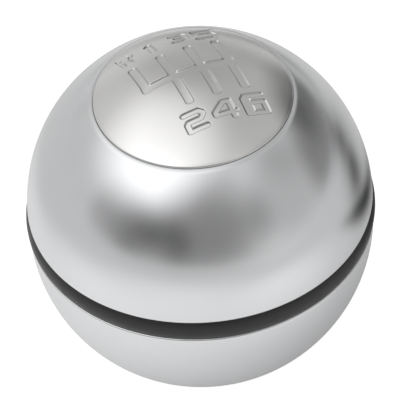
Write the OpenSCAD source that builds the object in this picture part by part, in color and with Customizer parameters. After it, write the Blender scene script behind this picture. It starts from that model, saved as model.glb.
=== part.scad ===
// Gear shift knob: an aluminium ball in two shells with a rubber band between them.
// A domed cap with the engraved gate pattern closes the top, and a base plate the bottom.
// Origin at the centre of the foot, Z up, +Y towards the odd gears. Millimetres.

/* [Ball] */
// Diameter of the ball
ball_d = 50; // [48:0.5:56]
// Wall thickness of both shells
shell_wall = 3; // [2.6:0.1:3.6]
// Bevel on the shells' edges beside the band
edge_bevel = 0.2; // [0.1:0.05:0.4]
// Thickness of the seat floors turned inside both shells
floor_t = 2; // [1.8:0.1:2.4]
// Bevel round the openings of both shells
rim_bevel = 0.3; // [0.2:0.05:0.4]

/* [Band] */
// Height of the band that shows between the shells
band_h = 3.3; // [2.6:0.1:4.5]
// How far the crown of the band stands out past the ball
band_proud = 0.3; // [0.1:0.05:0.4]
// How far the edges of the band lie inside the ball
band_inset = 0.15; // [0.1:0.05:0.2]
// Depth of the lips that reach into the shells
lip_h = 1; // [0.6:0.1:1.4]
// Thickness of those lips
lip_t = 1.2; // [0.8:0.1:1.3]

/* [Cap] */
// Diameter of the pattern cap
cap_d = 28.4; // [26.5:0.1:29.5]
// Wall of the cap's dome
cap_t = 2.2; // [1.8:0.1:2.6]
// Depth of the cap's edge below the seam
cap_edge_h = 2.2; // [1.8:0.1:2.8]
// Width of the flat rim under the cap
cap_rim_w = 3.7; // [3.2:0.1:4]
// Round on the cap's upper edge
cap_round = 0.2; // [0.1:0.05:0.3]
// Thickness of the adhesive ring under the cap
adhesive_t = 0.5; // [0.3:0.1:0.8]
// Diameter of the pin that keeps the pattern straight
pin_d = 2; // [1.5:0.1:2.2]
// Reach of that pin into the cap
pin_reach = 1.2; // [0.8:0.1:1.4]

/* [Gate pattern] */
// Depth of the engraving
engrave_h = 0.5; // [0.3:0.05:0.7]
// Width of the gate lines
gate_w = 1.4; // [1:0.1:1.6]
// Distance from one gate to the next
gate_pitch = 4.36; // [4.1:0.02:4.5]
// Distance of the neutral line in front of the cap's centre
neutral_y = 0.75; // [0.4:0.05:1]
// Reach of the odd gears from the neutral line
odd_reach = 6.05; // [5.4:0.05:6.3]
// Reach of the even gears from the neutral line
even_reach = 5.55; // [5.2:0.05:5.8]
// Corner radius at the ends of the gate lines
gate_round = 0.35; // [0.2:0.05:0.45]
// Height of the characters
char_h = 3.4; // [3:0.1:3.5]
// Width of an even gear's character
even_w = 4.05; // [3.6:0.05:4.1]
// Width of an odd gear's character
odd_w = 3.6; // [3.2:0.05:4]
// Width of the reverse letter
reverse_w = 2.9; // [2.6:0.05:3.6]
// Gap between the gate lines and the characters
char_gap = 1; // [0.8:0.05:1.2]
// Thickness of the characters' level strokes
bar_t = 0.8; // [0.7:0.05:0.9]
// Thickness of the characters' upright strokes
stem_t = 1.05; // [0.9:0.05:1.2]

/* [Base] */
// Width of the base plate's ring
base_ring_w = 6.5; // [6:0.1:7]
// Thickness of the base plate
base_t = 2.6; // [2.4:0.1:3.2]
// How far the base plate stands below the lower shell
foot_h = 0.3; // [0.2:0.05:0.6]
// Chamfers round the foot of the base plate
foot_chamfer = 0.4; // [0.2:0.05:0.5]
// Opening in the base plate for the lever
mouth_d = 17; // [16.4:0.1:17.4]
// Hole in the lower shell's floor for the lever
throat_d = 15.2; // [14:0.1:15.6]
// Thickness of the gasket above the base plate
gasket_t = 0.4; // [0.3:0.1:0.8]

/* [Lever socket] */
// Bore of the insert, the minor diameter of an M12 x 1.25 thread
thread_d = 10.7; // [8.7:0.1:10.9]
// Outer diameter of the insert over its knurl
insert_d = 16; // [15:0.1:16.4]
// Length of the insert
insert_l = 18; // [15:0.5:19.5]
// Height of the knurl's ridges
knurl_h = 0.5; // [0.3:0.05:0.7]
// Number of ridges on the knurl
knurl_n = 20; // [16:1:24]
// Width of the groove that anchors the insert
anchor_w = 2.4; // [2:0.1:3]
// Depth of that groove
anchor_h = 1; // [0.8:0.05:1.2]
// Bore of the rubber bush round the lever's shank
shank_d = 12.6; // [12.2:0.1:13.2]
// Wall of the bush
bush_wall = 2.2; // [2:0.1:2.4]
// Height of the bush
bush_h = 6; // [5:0.5:7.5]

/* [Core] */
// Diameter of the core's hub
hub_d = 22; // [21.4:0.1:22.6]
// Thickness of the core's web
web_t = 2.4; // [2:0.1:3.2]
// Width of the core's rim
core_rim_w = 2; // [1.6:0.1:2.6]
// How far the core's rim reaches into the shells past the band's lips
rim_reach = 1.5; // [1:0.1:2]
// Thickness of the ribs under the web
rib_t = 1.6; // [1.2:0.1:2.4]
// Height of the ribs at the hub
rib_h = 7; // [5:0.5:8]
// Number of ribs
rib_n = 6; // [5:1:8]
// Diameter of the spigot that centres the upper shell
spigot_d = 8; // [7:0.1:8.6]

/* [Weight] */
// Height of the steel weight
weight_h = 10; // [7:0.5:11]
// Thickness of the damping washer under it
washer_t = 0.5; // [0.4:0.1:1]
// Thickness of the circlip
clip_t = 1.2; // [1:0.1:1.5]
// Width of the circlip's ring
clip_w = 2.4; // [2.2:0.1:2.8]
// Depth of the circlip's groove
clip_groove = 0.6; // [0.5:0.05:0.7]

/* [Screws] */
// Diameter of all six screws
screw_d = 2.5; // [2.2:0.1:2.6]
// Diameter of their countersunk heads
head_d = 4.7; // [4.4:0.1:4.8]
// Height of their heads
head_h = 1.3; // [1.1:0.1:1.4]
// Width across the flats of their sockets
socket_af = 1.5; // [1.3:0.1:1.8]
// Length of the upper screws
upper_screw_l = 8; // [7:0.5:9]
// Length of the base screws
base_screw_l = 10; // [9:0.5:10.5]
// Wall of the plastic bosses round the base screws
boss_wall = 1.2; // [0.9:0.1:1.4]

/* [Clearances] */
// Gap round the cap and round the base plate
seam_gap = 0.15; // [0.1:0.05:0.25]
// Gap between moulded and turned pieces that locate each other
fit_gap = 0.15; // [0.1:0.05:0.2]
// Gap round pressed and moulded-in pieces
press_gap = 0.03; // [0.02:0.01:0.05]
// Gap round the weight
weight_gap = 0.3; // [0.2:0.05:0.5]

/* [Hidden] */
$fn = 96;

over = 1;
aluminium = [0.80, 0.81, 0.82];
rubber = [0.13, 0.13, 0.14];
plastic = [0.10, 0.10, 0.11];
steel = [0.55, 0.56, 0.58];
brass = [0.78, 0.65, 0.35];
foam = [0.30, 0.30, 0.32];

ball_r = ball_d / 2;
inner_r = ball_r - shell_wall;
cap_r = cap_d / 2;
cap_open_r = cap_r + seam_gap;
base_r = mouth_d / 2 + base_ring_w;
base_open_r = base_r + seam_gap;

// Heights, from the foot up
lower_z = foot_h + sqrt(ball_r * ball_r - base_open_r * base_open_r);
upper_z = lower_z + band_h;
band_z = lower_z + band_h / 2;
gasket_z = base_t;
throat_z = gasket_z + gasket_t;
core_z = throat_z + floor_t;
insert_z = core_z + bush_h;
cap_edge_z = upper_z + sqrt(ball_r * ball_r - cap_r * cap_r);
cap_back_z = cap_edge_z - cap_edge_h;
cap_seat_z = cap_back_z - adhesive_t;
hub_top_z = cap_seat_z - floor_t;

// Band, its lips and the core's rim that they close round
lip_gap = 0.2;
rim_off = lip_h + lip_gap + rim_reach;
core_rim_r = sqrt(inner_r * inner_r - rim_off * rim_off) - fit_gap;
band_in_r = core_rim_r + fit_gap;
lip_r = band_in_r + lip_t;
register_r = lip_r + fit_gap;
rib_end_r = core_rim_r - core_rim_w * 0.7;
crown = band_proud + band_inset;
crown_r = (band_h * band_h / 4 + crown * crown) / (2 * crown);

// Weight between the hub and the rim
hub_r = hub_d / 2;
web_top_z = band_z + web_t / 2;
weight_z = web_top_z + washer_t;
weight_top_z = weight_z + weight_h;
weight_off = weight_top_z - upper_z;
weight_r = min(core_rim_r - core_rim_w - weight_gap,
               sqrt(inner_r * inner_r - weight_off * weight_off) - weight_gap);
weight_bore_r = hub_r + weight_gap;
weight_chamfer = 0.6;
clip_z = weight_top_z + press_gap;
clip_in_r = hub_r - clip_groove + press_gap;
clip_ear_r = 1.5;
clip_ear_hole = 0.6;
clip_mouth = 2.4;

// Lever socket
insert_r = insert_d / 2;
bush_r = shank_d / 2 + bush_wall;
anchor_z = insert_z + insert_l / 2 - anchor_w / 2;
relief_h = 2.5;
relief_r = thread_d / 2 + 0.4;
mouth_chamfer = 0.6;

// Screws, three at each end, in the middle of the rings that they clamp
screw_n = 3;
screw_r = screw_d / 2;
head_r = head_d / 2;
hole_r = screw_r + fit_gap;
pilot_r = screw_r + press_gap;
tip_gap = 0.5;
head_sink = 0.15;
socket_h = 0.9;
tip_chamfer = 0.4;
cap_rim_in_r = cap_r - cap_rim_w;
upper_screw_r = (spigot_d / 2 + cap_rim_in_r) / 2;
upper_turn = 30;
base_screw_r = (mouth_d / 2 + base_r) / 2;
base_turn = 90;
boss_r = screw_r + boss_wall;
boss_h = base_screw_l + head_sink + tip_gap + boss_wall - core_z;

// Cap
pin_r = cap_r - cap_rim_w / 2;
pin_angle = 90;
pin_z = cap_seat_z - floor_t;
pin_l = floor_t + adhesive_t + pin_reach;

// Gate pattern, measured from the cap's centre
gate_n = 4;
reverse_x = -gate_pitch * (gate_n - 1) / 2 - 0.1;
odd_y = neutral_y + odd_reach + char_gap;
even_y = neutral_y - even_reach - char_gap - char_h;
char_pitch = even_w + 0.5;
even_x = reverse_x + 2 * gate_pitch - char_pitch - even_w / 2;
char_round = bar_t * 0.4;
bar_top = char_h - bar_t / 2;
bar_mid = char_h / 2;
bar_low = bar_t / 2;
function gate_x(i) = reverse_x + i * gate_pitch;

// Rectangle with round corners, from one corner to the other
module round_box(x0, y0, x1, y1, r) {
    translate([x0 + r, y0]) square([x1 - x0 - 2 * r, y1 - y0]);
    translate([x0, y0 + r]) square([x1 - x0, y1 - y0 - 2 * r]);
    for (x = [x0 + r, x1 - r], y = [y0 + r, y1 - r])
        translate([x, y]) circle(r = r);
}

// Level stroke of a character, with its middle at height y
module bar(x0, x1, y) {
    round_box(x0, y - bar_t / 2, x1, y + bar_t / 2, char_round);
}

// Upright stroke of a character, with its left edge at x
module stem(x, y0, y1) {
    round_box(x, y0, x + stem_t, y1, char_round);
}

module char_one(w) {
    stem(w - stem_t, 0, char_h);
    bar(w - 2 * stem_t, w, bar_top);
}

module char_two(w) {
    for (y = [bar_top, bar_mid, bar_low]) bar(0, w, y);
    stem(w - stem_t, bar_mid - bar_t / 2, char_h);
    stem(0, 0, bar_mid + bar_t / 2);
}

module char_three(w) {
    bar(0, w, bar_top);
    bar(w / 4, w, bar_mid);
    bar(0, w, bar_low);
    stem(w - stem_t, 0, char_h);
}

module char_four(w) {
    upright_x = w - 1.45 * stem_t;
    cross_y = char_h * 0.34;
    stem(upright_x, 0, char_h);
    bar(0, w, cross_y);
    polygon([
        [0.1, cross_y], [0.1, cross_y + bar_t / 2], [upright_x - bar_t, char_h],
        [upright_x + bar_t / 2, char_h], [upright_x + bar_t / 2, char_h - bar_t],
        [upright_x - bar_t / 2, char_h - bar_t], [1.2, cross_y]
    ]);
}

module char_five(w) {
    for (y = [bar_top, bar_mid, bar_low]) bar(0, w, y);
    stem(0, bar_mid - bar_t / 2, char_h);
    stem(w - stem_t, 0, bar_mid + bar_t / 2);
}

module char_six(w) {
    for (y = [bar_top, bar_mid, bar_low]) bar(0, w, y);
    stem(0, 0, char_h);
    stem(w - stem_t, 0, bar_mid + bar_t / 2);
}

module char_reverse(w) {
    for (y = [bar_top, bar_mid]) bar(0, w, y);
    stem(0, 0, char_h);
    stem(w - stem_t, bar_mid - bar_t / 2, char_h);
    polygon([
        [w / 3, bar_mid], [w / 3 + stem_t, bar_mid],
        [w, 0.1], [w - stem_t, 0.1]
    ]);
}

// Gate lines: the neutral line, four odd gates and three even ones
module gate_lines() {
    half = gate_w / 2;
    round_box(gate_x(0) - half, neutral_y - half, gate_x(gate_n - 1) + half,
              neutral_y + half, gate_round);
    for (i = [0 : gate_n - 1])
        round_box(gate_x(i) - half, neutral_y - half, gate_x(i) + half,
                  neutral_y + odd_reach, gate_round);
    for (i = [1 : gate_n - 1])
        round_box(gate_x(i) - half, neutral_y - even_reach, gate_x(i) + half,
                  neutral_y + half, gate_round);
}

module gate_pattern() {
    gate_lines();
    translate([gate_x(0) - reverse_w / 2, odd_y]) char_reverse(reverse_w);
    translate([gate_x(1) - odd_w / 2, odd_y]) char_one(odd_w / 2 + stem_t / 2);
    translate([gate_x(2) - odd_w / 2, odd_y]) char_three(odd_w);
    translate([gate_x(3) - odd_w / 2, odd_y]) char_five(odd_w);
    translate([even_x, even_y]) char_two(even_w);
    translate([even_x + char_pitch, even_y]) char_four(even_w);
    translate([even_x + 2 * char_pitch, even_y]) char_six(even_w);
}

// Places its children at each of the evenly spaced screws, or at one of them
module at_screw(i, r, turn) {
    rotate(turn + i * 360 / screw_n) translate([r, 0]) children();
}

// Flat washer shape
module washer(outer, inner, h) {
    linear_extrude(h) difference() {
        circle(r = outer);
        circle(r = inner);
    }
}

// Countersunk screw with its head's face at z = 0 and its tip below
module screw(l) {
    difference() {
        rotate_extrude() polygon([
            [0, 0], [head_r, 0], [screw_r, -head_h], [screw_r, -l + tip_chamfer],
            [screw_r - tip_chamfer, -l], [0, -l]
        ]);
        translate([0, 0, -socket_h])
            cylinder(r = socket_af / sqrt(3), h = socket_h + over, $fn = 6);
    }
}

// Clearance hole and countersink for that screw
module screw_hole(depth) {
    rotate_extrude() polygon([
        [0, over], [head_r + fit_gap, over], [head_r + fit_gap, 0],
        [hole_r, -head_h], [hole_r, -depth - over], [0, -depth - over]
    ]);
}

// Section of a half shell with its centre at the origin: the floor of the seat
// is seat_y above the centre, open_r wide, and has a round hole of radius eye_r
module shell_section(open_r, seat_y, eye_r) {
    rim_y = sqrt(ball_r * ball_r - open_r * open_r);
    difference() {
        intersection() {
            circle(r = ball_r);
            square([ball_r, ball_r]);
        }
        intersection() {
            circle(r = inner_r);
            translate([-over, -over]) square([ball_r, seat_y - floor_t + over]);
        }
        translate([-over, seat_y]) square([open_r + over, ball_r]);
        translate([-over, -over]) square([eye_r + over, ball_r]);
        translate([-over, -over]) square([register_r + over, lip_h + lip_gap + over]);
        polygon([
            [ball_r - edge_bevel - over, -over], [ball_r + over, -over],
            [ball_r + over, edge_bevel + over]
        ]);
        polygon([
            [open_r - over, rim_y + over], [open_r - over, rim_y - rim_bevel - over],
            [open_r + rim_bevel + over, rim_y + over]
        ]);
    }
}

module upper_shell() {
    color(aluminium) difference() {
        translate([0, 0, upper_z]) rotate_extrude()
            shell_section(cap_open_r, cap_seat_z - upper_z, spigot_d / 2 + fit_gap);
        for (i = [0 : screw_n - 1])
            at_screw(i, upper_screw_r, upper_turn)
                translate([0, 0, cap_seat_z]) screw_hole(floor_t);
        rotate(pin_angle) translate([pin_r, 0, pin_z - over])
            cylinder(r = pin_d / 2 + press_gap, h = floor_t + 2 * over);
    }
}

module lower_shell() {
    color(aluminium) difference() {
        translate([0, 0, lower_z]) mirror([0, 0, 1]) rotate_extrude()
            shell_section(base_open_r, lower_z - throat_z, throat_d / 2);
        for (i = [0 : screw_n - 1])
            at_screw(i, base_screw_r, base_turn)
                translate([0, 0, throat_z - over]) cylinder(r = hole_r, h = floor_t + 2 * over);
    }
}

module band_ring() {
    color(rubber) translate([0, 0, band_z]) rotate_extrude() {
        intersection() {
            translate([band_in_r, -band_h / 2]) square([ball_r, band_h]);
            translate([ball_r + band_proud - crown_r, 0]) circle(r = crown_r);
        }
        translate([band_in_r, -band_h / 2]) square([ball_r - crown_r / 2 - band_in_r, band_h]);
        translate([band_in_r, -band_h / 2 - lip_h]) square([lip_t, band_h + 2 * lip_h]);
    }
}

module shift_pattern_cap() {
    color(aluminium) difference() {
        translate([0, 0, upper_z]) rotate_extrude() difference() {
            intersection() {
                circle(r = ball_r);
                translate([0, cap_back_z - upper_z]) square([cap_r, ball_r]);
            }
            intersection() {
                circle(r = ball_r - cap_t);
                square([cap_rim_in_r, ball_r]);
            }
            translate([cap_r, cap_edge_z - upper_z]) rotate(45)
                square(cap_round * sqrt(2), center = true);
        }
        translate([0, 0, upper_z]) difference() {
            linear_extrude(ball_r + over) gate_pattern();
            sphere(r = ball_r - engrave_h);
        }
        rotate(pin_angle) translate([pin_r, 0, cap_back_z - over])
            cylinder(r = pin_d / 2 + press_gap, h = pin_reach + fit_gap + over);
    }
}

module cap_adhesive_ring() {
    color(foam) translate([0, 0, cap_seat_z]) difference() {
        washer(cap_r - fit_gap, cap_rim_in_r, adhesive_t);
        rotate(pin_angle) translate([pin_r, 0, -over])
            cylinder(r = pin_d / 2 + fit_gap, h = adhesive_t + 2 * over);
    }
}

module cap_locating_pin() {
    color(steel) rotate(pin_angle) translate([pin_r, 0, pin_z])
        cylinder(r = pin_d / 2, h = pin_l);
}

module upper_screw(i) {
    color(steel) at_screw(i, upper_screw_r, upper_turn)
        translate([0, 0, cap_seat_z]) screw(upper_screw_l);
}

module base_screw(i) {
    color(steel) at_screw(i, base_screw_r, base_turn)
        translate([0, 0, head_sink]) mirror([0, 0, 1]) screw(base_screw_l);
}

module core_body() {
    color(plastic) difference() {
        union() {
            translate([0, 0, core_z]) linear_extrude(boss_h) {
                circle(r = hub_r);
                for (i = [0 : screw_n - 1])
                    at_screw(i, base_screw_r, base_turn) circle(r = boss_r);
            }
            translate([0, 0, core_z + boss_h])
                cylinder(r = hub_r, h = hub_top_z - core_z - boss_h);
            translate([0, 0, hub_top_z]) cylinder(r = spigot_d / 2, h = floor_t - fit_gap);
            translate([0, 0, band_z - web_t / 2]) cylinder(r = core_rim_r - core_rim_w / 2, h = web_t);
            translate([0, 0, band_z - band_h / 2 - rim_off])
                washer(core_rim_r, core_rim_r - core_rim_w, band_h + 2 * rim_off);
            for (i = [0 : rib_n - 1])
                rotate(i * 360 / rib_n) translate([0, rib_t / 2, band_z - web_t / 2])
                    rotate([90, 0, 0]) linear_extrude(rib_t) polygon([
                        [hub_r - over, -rib_h], [hub_r, -rib_h],
                        [rib_end_r, -rim_off / 2], [rib_end_r, web_t / 2],
                        [hub_r - over, web_t / 2]
                    ]);
        }
        difference() {
            translate([0, 0, insert_z - over])
                cylinder(r = insert_r + press_gap, h = insert_l + over);
            translate([0, 0, anchor_z + press_gap])
                washer(insert_r + over, insert_r - anchor_h + press_gap, anchor_w - 2 * press_gap);
        }
        translate([0, 0, core_z - over]) cylinder(r = bush_r + press_gap, h = bush_h + over);
        translate([0, 0, insert_z]) cylinder(r = relief_r, h = insert_l + relief_h);
        for (i = [0 : screw_n - 1]) {
            at_screw(i, base_screw_r, base_turn) translate([0, 0, core_z - over])
                cylinder(r = pilot_r, h = head_sink + base_screw_l + tip_gap - core_z + over);
            at_screw(i, upper_screw_r, upper_turn)
                translate([0, 0, cap_seat_z - upper_screw_l - tip_gap])
                    cylinder(r = pilot_r, h = upper_screw_l + over);
        }
        translate([0, 0, clip_z - press_gap])
            washer(hub_r + over, hub_r - clip_groove, clip_t + 2 * press_gap);
    }
}

module weight_washer() {
    color(foam) translate([0, 0, web_top_z]) washer(weight_r, weight_bore_r, washer_t);
}

module weight_ring() {
    color(steel) translate([0, 0, weight_z]) rotate_extrude() polygon([
        [weight_bore_r, 0], [weight_r, 0], [weight_r, weight_h - weight_chamfer],
        [weight_r - weight_chamfer, weight_h], [weight_bore_r, weight_h]
    ]);
}

// External circlip with two ears, open towards +X
module weight_circlip() {
    clip_r = clip_in_r + clip_w;
    ear_turn = asin((clip_mouth / 2 + clip_ear_r) / clip_r);
    color(steel) translate([0, 0, clip_z]) linear_extrude(clip_t) difference() {
        union() {
            circle(r = clip_r);
            for (s = [-1, 1]) rotate(s * ear_turn) translate([clip_r, 0]) circle(r = clip_ear_r);
        }
        circle(r = clip_in_r);
        translate([0, -clip_mouth / 2]) square([2 * clip_r, clip_mouth]);
        for (s = [-1, 1]) rotate(s * ear_turn) translate([clip_r, 0]) circle(r = clip_ear_hole);
    }
}

module threaded_insert() {
    root_r = insert_r - knurl_h;
    color(brass) translate([0, 0, insert_z]) difference() {
        linear_extrude(insert_l) {
            circle(r = root_r);
            for (i = [0 : knurl_n - 1])
                rotate(i * 360 / knurl_n) translate([root_r, 0]) rotate(45)
                    square(knurl_h * sqrt(2), center = true);
        }
        translate([0, 0, -over]) cylinder(r = thread_d / 2, h = insert_l + 2 * over);
        translate([0, 0, -over])
            cylinder(r1 = thread_d / 2 + mouth_chamfer + over, r2 = thread_d / 2, h = mouth_chamfer + over);
        translate([0, 0, anchor_z - insert_z]) washer(insert_r + over, insert_r - anchor_h, anchor_w);
    }
}

module lever_bush() {
    color(rubber) translate([0, 0, core_z]) washer(bush_r, shank_d / 2, bush_h);
}

module base_gasket() {
    color(foam) translate([0, 0, gasket_z]) difference() {
        washer(base_r - fit_gap, mouth_d / 2, gasket_t);
        for (i = [0 : screw_n - 1])
            at_screw(i, base_screw_r, base_turn)
                translate([0, 0, -over]) cylinder(r = hole_r, h = gasket_t + 2 * over);
    }
}

module base_plate() {
    color(plastic) difference() {
        rotate_extrude() polygon([
            [mouth_d / 2 + foot_chamfer, 0], [base_r - foot_chamfer, 0], [base_r, foot_chamfer],
            [base_r, base_t], [mouth_d / 2, base_t], [mouth_d / 2, foot_chamfer]
        ]);
        for (i = [0 : screw_n - 1])
            at_screw(i, base_screw_r, base_turn)
                translate([0, 0, head_sink]) mirror([0, 0, 1]) screw_hole(base_t);
    }
}

shift_pattern_cap();
cap_adhesive_ring();
cap_locating_pin();
upper_shell();
upper_screw(0);  // upper_screw_1
upper_screw(1);  // upper_screw_2
upper_screw(2);  // upper_screw_3
band_ring();
core_body();
weight_washer();
weight_ring();
weight_circlip();
threaded_insert();
lever_bush();
lower_shell();
base_gasket();
base_plate();
base_screw(0);  // base_screw_1
base_screw(1);  // base_screw_2
base_screw(2);  // base_screw_3
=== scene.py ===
import math

import bmesh
import bpy
from mathutils import Matrix, Vector


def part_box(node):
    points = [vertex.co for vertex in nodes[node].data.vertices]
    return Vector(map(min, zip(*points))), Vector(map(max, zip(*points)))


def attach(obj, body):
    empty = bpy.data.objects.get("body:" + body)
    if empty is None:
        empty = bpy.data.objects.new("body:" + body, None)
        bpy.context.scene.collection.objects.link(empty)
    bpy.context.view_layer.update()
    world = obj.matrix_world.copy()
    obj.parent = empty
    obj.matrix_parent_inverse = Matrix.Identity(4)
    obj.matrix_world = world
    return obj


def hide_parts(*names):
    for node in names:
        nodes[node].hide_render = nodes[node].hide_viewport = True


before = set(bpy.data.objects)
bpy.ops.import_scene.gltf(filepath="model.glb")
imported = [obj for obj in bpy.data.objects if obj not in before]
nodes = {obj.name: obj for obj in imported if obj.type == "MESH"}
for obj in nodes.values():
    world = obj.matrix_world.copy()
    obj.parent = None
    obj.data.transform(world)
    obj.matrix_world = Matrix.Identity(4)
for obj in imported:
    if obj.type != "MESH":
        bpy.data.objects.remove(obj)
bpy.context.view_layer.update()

# Camera: stands in front of the knob and a little to the left of its even gears,
# 45 degrees up and 0.8 m away with a long lens, rolled slightly as the photograph is.
scene = bpy.context.scene
scene.view_settings.view_transform = "Standard"
seam_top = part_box("upper_shell")[0].z
camera_turn = math.radians(-21.3)
camera_rise = math.radians(45.24)
camera_roll = math.radians(-4.07)
camera_distance = 0.8072
camera_aim = Vector((0.00001, -0.00136, 0))
camera_data = bpy.data.cameras.new("camera")
camera_data.lens = 483.2
camera_data.sensor_width = 36
camera_data.clip_end = 10
camera = bpy.data.objects.new("camera", camera_data)
scene.collection.objects.link(camera)
camera_set = (
    Matrix.Rotation(camera_turn, 3, "Z")
    @ Matrix.Rotation(math.pi / 2 - camera_rise, 3, "X")
    @ Matrix.Rotation(camera_roll, 3, "Z")
)
camera.rotation_euler = camera_set.to_euler()
camera.location = Vector((0, 0, seam_top)) + camera_set @ (camera_aim + Vector((0, 0, camera_distance)))
scene.camera = camera

# Studio: a white table in a light tent, with a large soft box high on the left, an open
# front and grey cards round it, seen in the metal. Patches on the table are painted shade
# and painted light that the metal mirrors there, while the camera sees the table white.
world = bpy.data.worlds.new("light_tent")
world.use_nodes = True
scene.world = world


def add_node(tree, kind, inputs=None, **settings):
    node = tree.nodes.new(kind)
    for name, value in settings.items():
        setattr(node, name, value)
    for name, value in (inputs or {}).items():
        if isinstance(value, bpy.types.NodeSocket):
            tree.links.new(value, node.inputs[name])
        else:
            node.inputs[name].default_value = value
    return node


def heading(azimuth, elevation):
    turn, rise = math.radians(azimuth) + camera_turn, math.radians(elevation)
    return Vector((math.sin(turn) * math.cos(rise), -math.cos(turn) * math.cos(rise), math.sin(rise)))


tent_wall = 0.98
tent_dark = 0.02
table_dark = 0.03
table_seen = 0.92
paper_tone = 0.35
shaded_tone = 0.7
tent_panels = {
    "soft_box": ((-79, 65), 51, 7, 0.52),
    "top_light": ((-30, 50), 25, 0, 0.08),
    "open_front": ((5, 21), 50, 0, -0.72),
    "front_left_card": ((-37, 11), 34, 0, -0.33),
    "left_card": ((-56, 14), 31, 0, -0.48),
    "far_left_card": ((-107, 11), 50, 11, -0.36),
    "front_right_card": ((69, 18), 39, 0, -0.46),
    "right_card": ((119, 1), 40, 8, -0.73),
    "high_back_card": ((150, 63), 67, 11, -0.48),
    "back_card": ((180, 20), 40, 0, -0.14),
    "low_back_card": ((160, -3), 32, 0, -0.3),
    "back_left_card": ((-160, 5), 35, 0, -0.21),
}
tent = world.node_tree
tent.nodes.clear()
direction = add_node(tent, "ShaderNodeTexCoord").outputs["Generated"]
light = None
for label, ((azimuth, elevation), reach, core, strength) in tent_panels.items():
    towards = add_node(
        tent,
        "ShaderNodeVectorMath",
        {0: direction, 1: heading(azimuth, elevation)},
        operation="DOT_PRODUCT",
        label=label,
    )
    outer, inner = math.cos(math.radians(reach)), math.cos(math.radians(core))
    edge = add_node(
        tent,
        "ShaderNodeMapRange",
        {0: towards.outputs["Value"], 1: outer, 2: inner, 3: 0.0, 4: strength},
        interpolation_type="SMOOTHSTEP",
    )
    before = tent_wall if light is None else light.outputs[0]
    light = add_node(tent, "ShaderNodeMath", {0: before, 1: edge.outputs[0]}, operation="ADD")
light = add_node(tent, "ShaderNodeMath", {0: light.outputs[0], 1: tent_dark}, operation="MAXIMUM")
tent_light = add_node(tent, "ShaderNodeBackground", {"Color": (1, 1, 1, 1), "Strength": light.outputs[0]})
backdrop = add_node(tent, "ShaderNodeBackground", {"Color": (1, 1, 1, 1), "Strength": 1.0})
rays = add_node(tent, "ShaderNodeLightPath")
seen = add_node(
    tent,
    "ShaderNodeMixShader",
    {0: rays.outputs["Is Camera Ray"], 1: tent_light.outputs[0], 2: backdrop.outputs[0]},
)
add_node(tent, "ShaderNodeOutputWorld", {"Surface": seen.outputs[0]})

floor_mesh = bpy.data.meshes.new("table_top")
bm = bmesh.new()
bmesh.ops.create_circle(bm, cap_ends=True, segments=64, radius=3)
bm.to_mesh(floor_mesh)
bm.free()
floor = bpy.data.objects.new("table_top", floor_mesh)
scene.collection.objects.link(floor)
white = bpy.data.materials.new("white_table")
white.use_nodes = True
tree = white.node_tree
tree.nodes.clear()
rays = add_node(tree, "ShaderNodeLightPath")
place = add_node(tree, "ShaderNodeTexCoord").outputs["Object"]


def table_patch(right, back, half_length, half_width, turn, middle):
    centre = Matrix.Rotation(camera_turn, 3, "Z") @ Vector((right, back, 0)) / 1000
    spin = camera_turn + math.radians(turn)
    size = (half_length / 1000, half_width / 1000, 1)
    laid = add_node(
        tree,
        "ShaderNodeMapping",
        {"Vector": place, "Location": centre, "Rotation": (0, 0, spin), "Scale": size},
        vector_type="TEXTURE",
    )
    away = add_node(tree, "ShaderNodeVectorMath", {0: laid.outputs[0]}, operation="LENGTH")
    fade = {0: away.outputs["Value"], 3: middle, 4: 0.0}
    return add_node(tree, "ShaderNodeMapRange", fade, interpolation_type="SMOOTHSTEP").outputs[0]


def laid_out(start, patches):
    total = start
    for patch in patches:
        added = add_node(tree, "ShaderNodeMath", {0: total, 1: table_patch(*patch)}, operation="ADD")
        total = added.outputs[0]
    return total


# Painted shade on the table, seen only in the metal: a dark strip beside the knob and darker pools round it
# and further off.
shade = laid_out(1.0, (
    (59, 12, 50, 13, -33, -0.84),
    (90, 36, 62, 28, 34, -0.65),
    (190, 112, 200, 75, 34, -0.85),
    (45, 28, 22, 14, -33, -0.35),
    (12, -2, 48, 45, 0, -0.24),
    (60, 250, 230, 120, 0, -0.8),
    (600, 400, 500, 300, 35, -1.2),
))
shade = add_node(tree, "ShaderNodeMath", {0: shade, 1: table_dark}, operation="MAXIMUM")
# Painted light on the table, seen only in the metal: a faint glow with brighter pools in front and at the
# sides.
mirrored = laid_out(0.143, (
    (-23, -75, 140, 140, 0, 0.275),
    (60, -60, 60, 60, 0, 0.195),
    (-60, -20, 60, 60, 0, 0.13),
    (-50, 30, 40, 40, 0, 0.13),
    (240, -235, 200, 200, 0, 0.15),
    (-10, 120, 70, 60, 0, 0.12),
))
mirrored = add_node(tree, "ShaderNodeMath", {0: mirrored, 1: shade.outputs[0]}, operation="MULTIPLY")
reflected = add_node(tree, "ShaderNodeMath", {0: shade.outputs[0], 1: shaded_tone}, operation="MULTIPLY")
glossy = rays.outputs["Is Glossy Ray"]
tones = {0: glossy, 2: paper_tone, 3: reflected.outputs[0]}
tone = add_node(tree, "ShaderNodeMix", tones, data_type="FLOAT")
paper = add_node(tree, "ShaderNodeBsdfDiffuse", {"Color": tone.outputs[0]})
straight = {0: rays.outputs["Is Camera Ray"], 1: rays.outputs["Is Transmission Ray"]}
seen = add_node(tree, "ShaderNodeMath", straight, operation="MAXIMUM")
direct = add_node(tree, "ShaderNodeMath", {0: seen.outputs[0], 1: table_seen}, operation="MULTIPLY")
shown = {0: glossy, 2: direct.outputs[0], 3: mirrored.outputs[0]}
glow = add_node(tree, "ShaderNodeMix", shown, data_type="FLOAT")
shine = add_node(tree, "ShaderNodeEmission", {"Color": (1, 1, 1, 1), "Strength": glow.outputs[0]})
both = add_node(tree, "ShaderNodeAddShader", {0: paper.outputs[0], 1: shine.outputs[0]})
add_node(tree, "ShaderNodeOutputMaterial", {"Surface": both.outputs[0]})
floor.data.materials.append(white)

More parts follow.
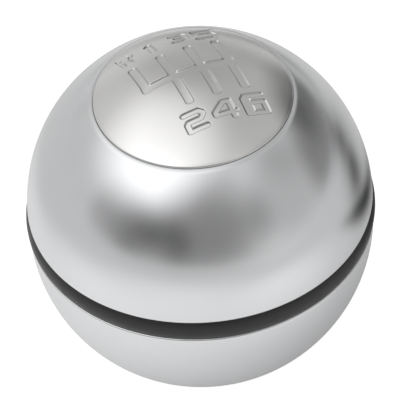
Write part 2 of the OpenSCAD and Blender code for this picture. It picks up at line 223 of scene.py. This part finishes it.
# Core body: moulded from black glass-filled nylon round the brass insert. Its hub, web,
# ribs and rim carry both shells, so the moulded solid itself is shown.
mm = 0.001


def new_surface(name, metallic):
    material = bpy.data.materials.new(name)
    material.use_nodes = True
    tree = material.node_tree
    surface = tree.nodes["Principled BSDF"]
    surface.inputs["Metallic"].default_value = metallic
    place = add_node(tree, "ShaderNodeTexCoord").outputs["Object"]
    return material, tree, surface, place


def mottle(tree, surface, place, scale, dark, light, rough_low, rough_high):
    cloud = add_node(tree, "ShaderNodeTexNoise", {"Vector": place, "Scale": scale, "Detail": 4.0})
    colours = {0: cloud.outputs[0], 6: (*dark, 1), 7: (*light, 1)}
    mix = add_node(tree, "ShaderNodeMix", colours, data_type="RGBA")
    tree.links.new(mix.outputs[2], surface.inputs["Base Color"])
    spread = {0: cloud.outputs[0], 1: 0.3, 2: 0.7, 3: rough_low, 4: rough_high}
    rough = add_node(tree, "ShaderNodeMapRange", spread)
    tree.links.new(rough.outputs[0], surface.inputs["Roughness"])


def relief(tree, surface, height, strength, distance):
    bump = add_node(tree, "ShaderNodeBump", {"Height": height, "Strength": strength, "Distance": distance})
    tree.links.new(bump.outputs[0], surface.inputs["Normal"])


def moulded(name, dark, light, mottle_scale, rough_low, rough_high, grain_scale, depth):
    material, tree, surface, place = new_surface(name, 0.0)
    mottle(tree, surface, place, mottle_scale, dark, light, rough_low, rough_high)
    grain = add_node(tree, "ShaderNodeTexNoise", {"Vector": place, "Scale": grain_scale, "Detail": 3.0})
    relief(tree, surface, grain.outputs[0], 0.5, depth)
    return material


def dress(material, *names):
    for name in names:
        for held in nodes[name].material_slots:
            held.material = material


nylon_dark, nylon_light = (0.012, 0.012, 0.013), (0.03, 0.03, 0.031)
dress(moulded("glass_filled_nylon", nylon_dark, nylon_light, 1500, 0.42, 0.55, 4000, 0.00003), "core_body")

# Threaded insert: brass, turned and knurled, moulded into the hub. Its bore carries the
# lever's M12 x 1.25 thread, and a groove round its middle keeps it from pulling out.
def profile_start(bm, radius, height):
    return bm.verts.new((radius, 0, height))


def profile_line(bm, point, radius, height):
    made = bmesh.ops.extrude_vert_indiv(bm, verts=[point])["verts"][0]
    made.co = (radius, 0, height)
    return made


def profile_arc(bm, point, centre, degrees, steps):
    angle = math.radians(degrees)
    swept = bmesh.ops.spin(bm, geom=[point], cent=centre, axis=(0, 1, 0), angle=angle, steps=steps)
    return next(item for item in swept["geom_last"] if isinstance(item, bmesh.types.BMVert))


def turn_profile(bm, first, last, steps):
    bm.edges.new((last, first))
    outline = bm.verts[:] + bm.edges[:]
    axis = (0, 0, 1)
    bmesh.ops.spin(bm, geom=outline, cent=(0, 0, 0), axis=axis, angle=math.tau, steps=steps, use_merge=True)
    bmesh.ops.remove_doubles(bm, verts=bm.verts, dist=1e-6)
    bmesh.ops.recalc_face_normals(bm, faces=bm.faces)


def turned(corners, steps):
    bm = bmesh.new()
    start = point = profile_start(bm, *corners[0])
    for radius, height in corners[1:]:
        point = profile_line(bm, point, radius, height)
    turn_profile(bm, start, point, steps)
    return bm


def soften(bm, offset, *rings):
    for radius, height in rings:
        found = []
        for edge in bm.edges:
            if all(abs(v.co.xy.length - radius) < 2e-6 and abs(v.co.z - height) < 2e-6 for v in edge.verts):
                found.append(edge)
        bmesh.ops.bevel(bm, geom=found, offset=offset, segments=3, profile=0.5, affect="EDGES", material=-1)


def cut_thread(bm, radius, low, high, pitch, depth):
    for vert in bm.verts:
        if abs(vert.co.xy.length - radius) < 2e-6 and low < vert.co.z < high:
            turn = vert.co.z / pitch - math.atan2(vert.co.y, vert.co.x) / math.tau
            flank = min(max(abs(turn % 1 - 0.5) * 3 - 0.25, 0), 1)
            run_out = min((vert.co.z - low) / pitch, (high - vert.co.z) / pitch, 1)
            vert.co.xy *= 1 + depth * flank * run_out / radius


def new_piece(name, bm, material, slot, *replaced):
    sharp = math.radians(40)
    for face in bm.faces:
        face.smooth = True
    for edge in bm.edges:
        edge.smooth = edge.is_manifold and edge.calc_face_angle() < sharp
    mesh = bpy.data.meshes.new(name)
    bm.to_mesh(mesh)
    bm.free()
    piece = bpy.data.objects.new(name, mesh)
    scene.collection.objects.link(piece)
    mesh.materials.append(material)
    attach(piece, "root")
    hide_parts(*replaced)
    return piece


def worked_metal(name, dark, light, rough_low, rough_high, mark_pitch):
    material, tree, surface, place = new_surface(name, 1.0)
    mottle(tree, surface, place, 700, dark, light, rough_low, rough_high)
    marks = add_node(
        tree,
        "ShaderNodeTexWave",
        {"Vector": place, "Scale": 0.32 / mark_pitch, "Distortion": 0.6, "Detail": 2.0},
        wave_type="RINGS",
        rings_direction="SPHERICAL",
    )
    relief(tree, surface, marks.outputs[1], 0.35, mark_pitch / 40)
    return material


insert_low, insert_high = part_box("threaded_insert")[0].z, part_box("threaded_insert")[1].z
insert_middle = (insert_low + insert_high) / 2
bore_r = 5.35 * mm
insert_root_r = 7.5 * mm
insert_groove_r = 7 * mm
thread_pitch = 1.25 * mm
thread_depth = 0.65 * mm
mouth_chamfer = 0.6 * mm
thread_low = insert_low + mouth_chamfer
knurl_h = 0.5 * mm
knurl_n = 20
groove_half = 1.2 * mm
corners = [
    (insert_root_r, insert_low),
    (insert_root_r, insert_middle - groove_half),
    (insert_groove_r, insert_middle - groove_half),
    (insert_groove_r, insert_middle + groove_half),
    (insert_root_r, insert_middle + groove_half),
    (insert_root_r, insert_high),
    (bore_r, insert_high),
]
thread_steps = 116
for k in range(1, thread_steps):
    corners.append((bore_r, insert_high - k * (insert_high - thread_low) / thread_steps))
corners += [(bore_r, thread_low), (bore_r + mouth_chamfer, insert_low)]
bm = turned(corners, 12 * knurl_n)
cut_thread(bm, bore_r, thread_low, insert_high, thread_pitch, thread_depth)
for vert in bm.verts:
    if abs(vert.co.xy.length - insert_root_r) < 2e-6:
        share = math.atan2(vert.co.y, vert.co.x) * knurl_n / math.tau
        across = abs(share - round(share)) * math.tau * insert_root_r / knurl_n
        vert.co.xy *= 1 + max(knurl_h - across, 0) / insert_root_r
brass = worked_metal("insert_brass_turned", (0.70, 0.50, 0.22), (0.80, 0.60, 0.30), 0.22, 0.34, 0.12 * mm)
new_piece("threaded_brass_insert", bm, brass, "insert_brass", "threaded_insert")

# Lever bush: black rubber, pressed into the core's mouth. The soft rings in its bore grip
# the plain shank under the lever's thread and keep it from rattling.
rubber_dark = (0.014, 0.014, 0.0145)
soft_rubber = moulded("bush_rubber", rubber_dark, (0.024, 0.024, 0.025), 420, 0.5, 0.65, 5200, 0.00001)
bush_low, bush_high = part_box("lever_bush")[0].z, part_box("lever_bush")[1].z
bush_r = 8.5 * mm
shank_r = 6.3 * mm
ring_pitch = (bush_high - bush_low) / 4
bm = bmesh.new()
start = profile_start(bm, bush_r, bush_low)
point = profile_line(bm, start, bush_r, bush_high)
point = profile_line(bm, point, shank_r + 0.4 * mm, bush_high)
for k in range(4):
    height = bush_high - (k + 0.5) * ring_pitch
    point = profile_line(bm, point, shank_r + 0.35 * mm, height + 0.45 * ring_pitch)
    point = profile_line(bm, point, shank_r + 0.1 * mm, height + 0.28 * ring_pitch)
    point = profile_line(bm, point, shank_r, height + 0.1 * ring_pitch)
    point = profile_line(bm, point, shank_r, height - 0.1 * ring_pitch)
    point = profile_line(bm, point, shank_r + 0.1 * mm, height - 0.28 * ring_pitch)
    point = profile_line(bm, point, shank_r + 0.35 * mm, height - 0.45 * ring_pitch)
point = profile_line(bm, point, shank_r + 0.4 * mm, bush_low)
turn_profile(bm, start, point, 128)
soften(bm, 0.3 * mm, (bush_r, bush_low), (bush_r, bush_high))
new_piece("ribbed_lever_bush", bm, soft_rubber, "black_rubber", "lever_bush")

# Weight: a turned and zinc plated steel ring on a foam washer, dropped over the hub from
# above and held there by a plated spring circlip. The turned ring has broken edges.
foam = moulded("closed_cell_foam", (0.05, 0.05, 0.053), (0.1, 0.1, 0.105), 900, 0.75, 0.9, 3000, 0.00008)
zinc_dark, zinc_light = (0.52, 0.53, 0.55), (0.62, 0.62, 0.63)
zinc_steel = worked_metal("zinc_plated_steel", zinc_dark, zinc_light, 0.28, 0.42, 0.15 * mm)
spring_dark, spring_light = (0.4, 0.4, 0.42), (0.48, 0.48, 0.5)
spring_steel = worked_metal("zinc_plated_spring_steel", spring_dark, spring_light, 0.35, 0.48, 0.1 * mm)
dress(foam, "weight_washer", "base_gasket", "cap_adhesive_ring")
dress(spring_steel, "weight_circlip")
weight_low, weight_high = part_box("weight_ring")[0].z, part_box("weight_ring")[1].z
weight_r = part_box("weight_ring")[1].x
weight_bore_r = 11.3 * mm
ring_steps = 192
corners = [
    (weight_bore_r, weight_low),
    (weight_r, weight_low),
    (weight_r, weight_high),
    (weight_bore_r, weight_high),
]
bm = turned(corners, ring_steps)
soften(bm, 0.6 * mm, (weight_r, weight_high))
soften(bm, 0.15 * mm, (weight_r, weight_low), (weight_bore_r, weight_low), (weight_bore_r, weight_high))
new_piece("turned_weight_ring", bm, zinc_steel, "weight_steel", "weight_ring")

# Upper shell: the upper half of the ball, turned from aluminium bar and bead blasted.
# A narrow shallow lead runs down to the cap, and the edge at the band is broken.
ball_r = 25 * mm
inner_r = 22 * mm
floor_t = 2 * mm
register_r = 23.184 * mm
register_h = 1.2 * mm
edge_break = 0.3 * mm
turned_steps = 256
hole_gap = 0.15 * mm
screw_r = 1.25 * mm
head_r = 2.35 * mm
head_h = 1.3 * mm
upper_screw_r = 7.25 * mm
base_screw_r = 11.75 * mm
cap_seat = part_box("cap_adhesive_ring")[0].z
lead_slope = math.tan(math.radians(16))


def scratch_object(bm):
    mesh = bpy.data.meshes.new("scratch")
    bm.to_mesh(mesh)
    bm.free()
    made = bpy.data.objects.new("scratch", mesh)
    scene.collection.objects.link(made)
    return made


def drill(bm, holes):
    blank = scratch_object(bm)
    cutters = [scratch_object(hole) for hole in holes]
    for cutter in cutters:
        cut = blank.modifiers.new("hole", "BOOLEAN")
        cut.object = cutter
        cut.operation = "DIFFERENCE"
        cut.solver = "EXACT"
    bpy.context.view_layer.update()
    cut_mesh = bpy.data.meshes.new_from_object(blank.evaluated_get(bpy.context.evaluated_depsgraph_get()))
    drilled = bmesh.new()
    drilled.from_mesh(cut_mesh)
    bmesh.ops.remove_doubles(drilled, verts=drilled.verts, dist=1e-7)
    for made in [blank] + cutters:
        bpy.data.objects.remove(made)
    return drilled


def round_hole(radius, low, high, centre):
    bm = turned([(0, low), (radius, low), (radius, high), (0, high)], 48)
    bmesh.ops.translate(bm, verts=bm.verts, vec=centre)
    return bm


def screw_place(index, radius, turn):
    angle = math.radians(turn + 120 * index)
    return Vector((radius * math.cos(angle), radius * math.sin(angle), 0))


def screw_hole(centre, face, up):
    sink_r, hole_r = head_r + hole_gap, screw_r + hole_gap
    over, under = 1 * mm, -4 * mm
    corners = [(0, over), (sink_r, over), (sink_r, 0), (hole_r, -head_h), (hole_r, under), (0, under)]
    bm = turned(corners, 48)
    if not up:
        bmesh.ops.rotate(bm, verts=bm.verts, cent=(0, 0, 0), matrix=Matrix.Rotation(math.pi, 3, "X"))
    bmesh.ops.translate(bm, verts=bm.verts, vec=centre + Vector((0, 0, face)))
    return bm


def blasted_aluminium(name, dark, light, rough_low, rough_high):
    material, tree, surface, place = new_surface(name, 1.0)
    mottle(tree, surface, place, 160, dark, light, rough_low, rough_high)
    grain = add_node(tree, "ShaderNodeTexNoise", {"Vector": place, "Scale": 6500.0, "Detail": 2.0})
    relief(tree, surface, grain.outputs[0], 0.12, 0.01 * mm)
    return material


def ball_rise(radius, size=ball_r):
    return math.sqrt(size * size - radius * radius)


def half_shell(name, node, centre_z, up, opening_r, lead, seat, eye_r, rim_bevel, holes):
    rim = ball_rise(opening_r + lead)
    sweep = math.degrees(math.atan2(rim, opening_r + lead))
    bm = bmesh.new()
    start = profile_start(bm, register_r, centre_z)
    point = profile_line(bm, start, ball_r, centre_z)
    point = profile_arc(bm, point, (0, 0, centre_z), -up * sweep, 56)
    if lead:
        rim += lead * lead_slope
        point = profile_line(bm, point, opening_r, centre_z + up * rim)
    point = profile_line(bm, point, opening_r, centre_z + up * seat)
    point = profile_line(bm, point, eye_r, centre_z + up * seat)
    floor_z = seat - floor_t
    point = profile_line(bm, point, eye_r, centre_z + up * floor_z)
    inner_at = ball_rise(floor_z, inner_r)
    point = profile_line(bm, point, inner_at, centre_z + up * floor_z)
    span = math.degrees(math.atan2(floor_z, inner_at) - math.asin(register_h / inner_r))
    point = profile_arc(bm, point, (0, 0, centre_z), up * span, 24)
    point = profile_line(bm, point, register_r, centre_z + up * register_h)
    turn_profile(bm, start, point, turned_steps)
    soften(bm, rim_bevel, (opening_r, centre_z + up * rim))
    soften(bm, edge_break, (ball_r, centre_z))
    bm = drill(bm, holes)
    new_piece(name, bm, shell_aluminium, "satin_aluminium", node)


shell_dark, shell_light = (0.77, 0.775, 0.785), (0.80, 0.805, 0.815)
shell_aluminium = blasted_aluminium("shell_aluminium", shell_dark, shell_light, 0.205, 0.23)
pin_hole_r = 1.03 * mm
pin_place = Vector((0, 12.35 * mm, 0))
holes = [screw_hole(screw_place(k, upper_screw_r, 30), cap_seat, True) for k in range(3)]
holes.append(round_hole(pin_hole_r, cap_seat - 3 * mm, cap_seat + 1 * mm, pin_place))
half_shell(
    "upper_half_shell",
    "upper_shell",
    centre_z=seam_top,
    up=1,
    opening_r=14.3 * mm,
    lead=0.45 * mm,
    seat=cap_seat - seam_top,
    eye_r=4.15 * mm,
    rim_bevel=0.05 * mm,
    holes=holes,
)

# Band: a moulded ring of black rubber between the two shells, with a crown that stands
# a little proud of the ball and lips that reach into both shells.
band_rubber = moulded("band_rubber", rubber_dark, (0.022, 0.022, 0.023), 420, 0.36, 0.48, 5200, 0.00001)
seam_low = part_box("lower_shell")[1].z
band_half = (seam_top - seam_low) / 2
band_z = (seam_top + seam_low) / 2
band_edge_r = 24.85 * mm
crown = 0.45 * mm
crown_r = (band_half * band_half + crown * crown) / (2 * crown)
crown_turn = math.degrees(math.asin(band_half / crown_r))
lip_in_r = 21.834 * mm
lip_out_r = 23.034 * mm
lip_h = 1 * mm
bm = bmesh.new()
start = profile_start(bm, band_edge_r, band_z - band_half)
point = profile_arc(bm, start, (band_edge_r + crown - crown_r, 0, band_z), -2 * crown_turn, 20)
for radius, height in (
    (lip_out_r, band_half),
    (lip_out_r, band_half + lip_h),
    (lip_in_r, band_half + lip_h),
    (lip_in_r, -band_half - lip_h),
    (lip_out_r, -band_half - lip_h),
    (lip_out_r, -band_half),
):
    point = profile_line(bm, point, radius, band_z + height)
turn_profile(bm, start, point, turned_steps)
soften(bm, 0.15 * mm, (band_edge_r, band_z - band_half), (band_edge_r, band_z + band_half))
new_piece("rubber_band", bm, band_rubber, "black_rubber", "band_ring")

# Lower shell: the lower half of the ball, the same metal and finish, with a hole in its
# floor for the lever. Three screws from below clamp it to the core.
throat_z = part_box("base_gasket")[1].z
holes = []
for k in range(3):
    centre = screw_place(k, base_screw_r, 90)
    holes.append(round_hole(screw_r + hole_gap, throat_z - 1 * mm, throat_z + 3 * mm, centre))
half_shell(
    "lower_half_shell",
    "lower_shell",
    centre_z=seam_low,
    up=-1,
    opening_r=15.15 * mm,
    lead=0,
    seat=seam_low - throat_z,
    eye_r=7.6 * mm,
    rim_bevel=edge_break,
    holes=holes,
)

# Upper screws: three countersunk thread-forming screws of zinc plated steel. They clamp
# the upper shell to the core's hub and are hidden under the cap.
screw_dark, screw_light = (0.42, 0.42, 0.44), (0.5, 0.5, 0.52)
screw_steel = worked_metal("zinc_plated_screw_steel", screw_dark, screw_light, 0.3, 0.42, 0.08 * mm)


def countersunk_screw(name, length, centre, face, up, node):
    low, high = -length + 0.3 * mm, -head_h - 0.2 * mm
    ring_gap = 0.1 * mm
    corners = [(0, 0), (head_r, 0), (screw_r, -head_h)]
    corners += [(screw_r, high - k * ring_gap) for k in range(int((high - low) / ring_gap))]
    corners += [(screw_r, low), (screw_r - 0.4 * mm, -length), (0, -length)]
    bm = turned(corners, 36)
    soften(bm, 0.08 * mm, (head_r, 0))
    cut_thread(bm, screw_r, low, high, 0.9 * mm, -0.28 * mm)
    socket = bmesh.new()
    low_r, high_r, depth = 0.8 * mm, 0.9 * mm, 1.8 * mm
    bmesh.ops.create_cone(socket, cap_ends=True, segments=6, radius1=low_r, radius2=high_r, depth=depth)
    bm = drill(bm, [socket])
    if not up:
        bmesh.ops.rotate(bm, verts=bm.verts, cent=(0, 0, 0), matrix=Matrix.Rotation(math.pi, 3, "X"))
    bmesh.ops.translate(bm, verts=bm.verts, vec=centre + Vector((0, 0, face)))
    new_piece(name, bm, screw_steel, "screw_steel", node)


for k in range(3):
    node = f"upper_screw_{k + 1}"
    centre = screw_place(k, upper_screw_r, 30)
    countersunk_screw(f"upper_socket_screw_{k + 1}", 8 * mm, centre, cap_seat, True, node)

# Base plate: black nylon, moulded with a fine grain. It closes the lower shell round the
# lever, stands 0.3 mm proud of it as the knob's foot and holds the screws' heads.
base_dark, base_light = (0.014, 0.014, 0.015), (0.022, 0.022, 0.023)
base_black = moulded("grained_black_nylon", base_dark, base_light, 600, 0.48, 0.6, 3800, 0.00006)
base_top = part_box("base_plate")[1].z
base_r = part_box("base_plate")[1].x
mouth_r = 8.5 * mm
head_sunk = 0.15 * mm
bm = turned([(mouth_r, 0), (base_r, 0), (base_r, base_top), (mouth_r, base_top)], ring_steps)
soften(bm, 0.4 * mm, (mouth_r, 0), (base_r, 0))
soften(bm, 0.15 * mm, (mouth_r, base_top), (base_r, base_top))
bm = drill(bm, [screw_hole(screw_place(k, base_screw_r, 90), head_sunk, False) for k in range(3)])
new_piece("grained_base_plate", bm, base_black, "black_nylon", "base_plate")

# Base screws: the same plated screws from below, through the base plate, the gasket and
# the lower shell's floor into the core's bosses.
for k in range(3):
    node = f"base_screw_{k + 1}"
    centre = screw_place(k, base_screw_r, 90)
    countersunk_screw(f"base_socket_screw_{k + 1}", 10 * mm, centre, head_sunk, False, node)

# Cap's seat: a ring of adhesive foam, dressed with the foam above, and a ground steel pin
# that keeps the pattern square to the car.
pin_steel = worked_metal("ground_pin_steel", (0.6, 0.6, 0.61), (0.68, 0.68, 0.69), 0.16, 0.26, 0.05 * mm)
dress(pin_steel, "cap_locating_pin")

# Shift pattern cap: a domed disc turned from aluminium and bead blasted, glued into the
# upper shell. The gate pattern is cut 0.2 mm deep, with bare walls painted darker as shade, and a faint
# dish.
cap_r = 14.25 * mm
cap_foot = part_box("shift_pattern_cap")[0].z
cap_dome_r = 22.8 * mm
cap_rim_in_r = 10.5 * mm
cap_field_r = 13.2 * mm
cap_edge_r = 13.7 * mm
cap_cells = 64
finer_near = (0.75, 0.45, 0.32)
groove_lead = 0.04
groove_wall = 0.23
groove_step = 0.2
groove_dish = 0.045
gate_half = 0.72
gate_corner = 0.5
land_corner = 0.35
upright_stretch = 0.8
gate_bars = [
    ((-7.2, 0.22), (7.05, 1.6)),
    ((-7.2, 0.22), (-5.79, 6.55)),
    ((-2.89, -4.8), (-1.5, 6.55)),
    ((1.37, -4.8), (2.76, 6.55)),
    ((5.62, -4.8), (7.05, 6.55)),
]
characters = {
    "two": (0.42, [
        [
            (-4.06, -6.2), (-1.85, -6.2), (-1.35, -6.65), (-1.35, -6.95), (-1.9, -7.45),
            (-3.8, -7.45), (-4.06, -7.7), (-4.06, -8.75), (-1.45, -8.75),
        ],
    ]),
    "four": (0.42, [
        [(2.84, -8.75), (2.84, -6.2), (2.0, -6.2), (0.3, -7.5), (0.3, -7.95), (3.24, -7.95)],
    ]),
    "six": (0.42, [
        [
            (7.75, -6.1), (5.4, -6.1), (4.98, -6.5), (4.98, -8.88),
            (7.78, -8.88), (7.78, -7.25), (5.6, -7.25),
        ],
        [(5.58, -6.2), (5.58, -8.8)],
    ]),
    "reverse": (0.3, [
        [
            (-6.85, 8.1), (-7.1, 10.4), (-5.6, 10.4), (-5.2, 10.1),
            (-5.2, 9.75), (-5.6, 9.4), (-6.8, 9.4),
        ],
        [(-6.2, 9.4), (-5.7, 8.3)],
    ]),
    "one": (0.4, [
        [(-2.6, 10.1), (-2.25, 10.45), (-2.25, 8.2)],
    ]),
    "three": (0.4, [
        [(1.3, 10.6), (2.95, 10.6), (3.25, 10.3), (3.25, 8.85), (2.95, 8.55), (1.2, 8.55)],
        [(1.8, 9.55), (3.1, 9.55)],
    ]),
    "five": (0.4, [
        [
            (7.4, 10.5), (4.7, 10.5), (4.7, 9.35), (7.05, 9.35),
            (7.4, 9.0), (7.4, 8.2), (7.05, 7.85), (4.6, 7.85),
        ],
    ]),
}


def soft_min(a, b, blend):
    share = max(blend - abs(a - b), 0) / blend
    return min(a, b) - share * share * blend / 4


def gate_distance(x, y):
    nearest = 9
    for (left, low), (right, high) in gate_bars:
        across = abs(x - (left + right) / 2) - (right - left) / 2 + gate_corner
        along = abs(y - (low + high) / 2) - (high - low) / 2 + gate_corner
        inside = min(max(across, along), 0)
        reach = math.hypot(max(across, 0), max(along, 0)) + inside - gate_corner
        nearest = soft_min(nearest, reach, land_corner)
    return nearest


character_lines = [
    (half, x0 * upright_stretch, y0, (x1 - x0) * upright_stretch, y1 - y0)
    for half, lines in characters.values()
    for line in lines
    for (x0, y0), (x1, y1) in zip(line, line[1:])
]


def character_distance(x, y):
    x *= upright_stretch
    nearest = 9, gate_half
    for half, x0, y0, dx, dy in character_lines:
        px, py = x - x0, y - y0
        share = min(max((px * dx + py * dy) / (dx * dx + dy * dy), 0), 1)
        nearest = min(nearest, (math.hypot(px - dx * share, py - dy * share) - half, half))
    return nearest


def pattern_distance(x, y):
    x, y = x / mm, y / mm
    if max(abs(x), abs(y)) > 12:
        return 9, gate_half
    if y > 7.3 or y < -5.3:
        return character_distance(x, y)
    return gate_distance(x, y), gate_half


def groove_depth(x, y):
    outside, half = pattern_distance(x, y)
    inside = min(max(groove_lead - outside, 0), half)
    down = min(inside / groove_wall, 1)
    floor = 1 - inside / half
    return mm * (groove_step * down * down * (3 - 2 * down) + groove_dish * half * (1 - floor * floor))


def next_ring(bm, edges, radius, height):
    made = bmesh.ops.extrude_edge_only(bm, edges=edges)["geom"]
    for vert in made:
        if isinstance(vert, bmesh.types.BMVert):
            vert.co = (vert.co.xy.normalized() * radius).to_3d() + Vector((0, 0, height))
    return [edge for edge in made if isinstance(edge, bmesh.types.BMEdge)]


cap_aluminium = blasted_aluminium("cap_aluminium", (0.775, 0.77, 0.76), (0.80, 0.795, 0.785), 0.21, 0.24)
# The groove walls' aluminium is smoother as cut, and its darker tone is painted shade in the grooves.
cut_aluminium_painted_shade = blasted_aluminium("cut_aluminium_painted_shade", (0.56, 0.556, 0.55), (0.6, 0.596, 0.59), 0.18, 0.22)
bm = bmesh.new()
bmesh.ops.create_grid(bm, x_segments=cap_cells, y_segments=cap_cells, size=1)
for vert in bm.verts:
    x, y = vert.co.xy
    if abs(x) > abs(y):
        reach, turn = x, math.pi / 4 * y / x
    else:
        reach, turn = y, math.pi / 2 - math.pi / 4 * x / y if y else 0
    vert.co = (cap_field_r * reach * math.cos(turn), cap_field_r * reach * math.sin(turn), 0)
for reach in finer_near:
    near = []
    for edge in bm.edges:
        middle = (edge.verts[0].co + edge.verts[1].co) / 2
        if abs(pattern_distance(middle.x, middle.y)[0]) < reach:
            near.append(edge)
    bmesh.ops.subdivide_edges(bm, edges=near, cuts=1, use_grid_fill=True)
for vert in bm.verts:
    sunk = ball_r - groove_depth(vert.co.x, vert.co.y)
    vert.co.z = seam_top + math.sqrt(sunk * sunk - vert.co.xy.length_squared)
loop = [edge for edge in bm.edges if edge.is_boundary]
for radius in (cap_edge_r, cap_r):
    loop = next_ring(bm, loop, radius, seam_top + ball_rise(radius))
rim = loop
loop = next_ring(bm, loop, cap_r, cap_foot)
loop = next_ring(bm, loop, cap_rim_in_r, cap_foot)
for radius in (cap_rim_in_r, 7 * mm, 3.5 * mm, 0.05 * mm):
    loop = next_ring(bm, loop, radius, seam_top + ball_rise(radius, cap_dome_r))
bmesh.ops.contextual_create(bm, geom=loop)
bmesh.ops.bevel(bm, geom=rim, offset=0.12 * mm, segments=4, profile=0.5, affect="EDGES", material=-1)
bmesh.ops.recalc_face_normals(bm, faces=bm.faces)
# Faces on the groove walls take the darker aluminium: painted shade in the engraved pattern.
for face in bm.faces:
    middle = face.calc_center_median()
    on_dome = middle.z > seam_top + ball_rise(cap_r)
    if on_dome and 0 < groove_lead - pattern_distance(middle.x, middle.y)[0] < groove_wall:
        face.material_index = 1
cap = new_piece("domed_shift_cap", bm, cap_aluminium, "satin_aluminium", "shift_pattern_cap")
cap.data.materials.append(cut_aluminium_painted_shade)
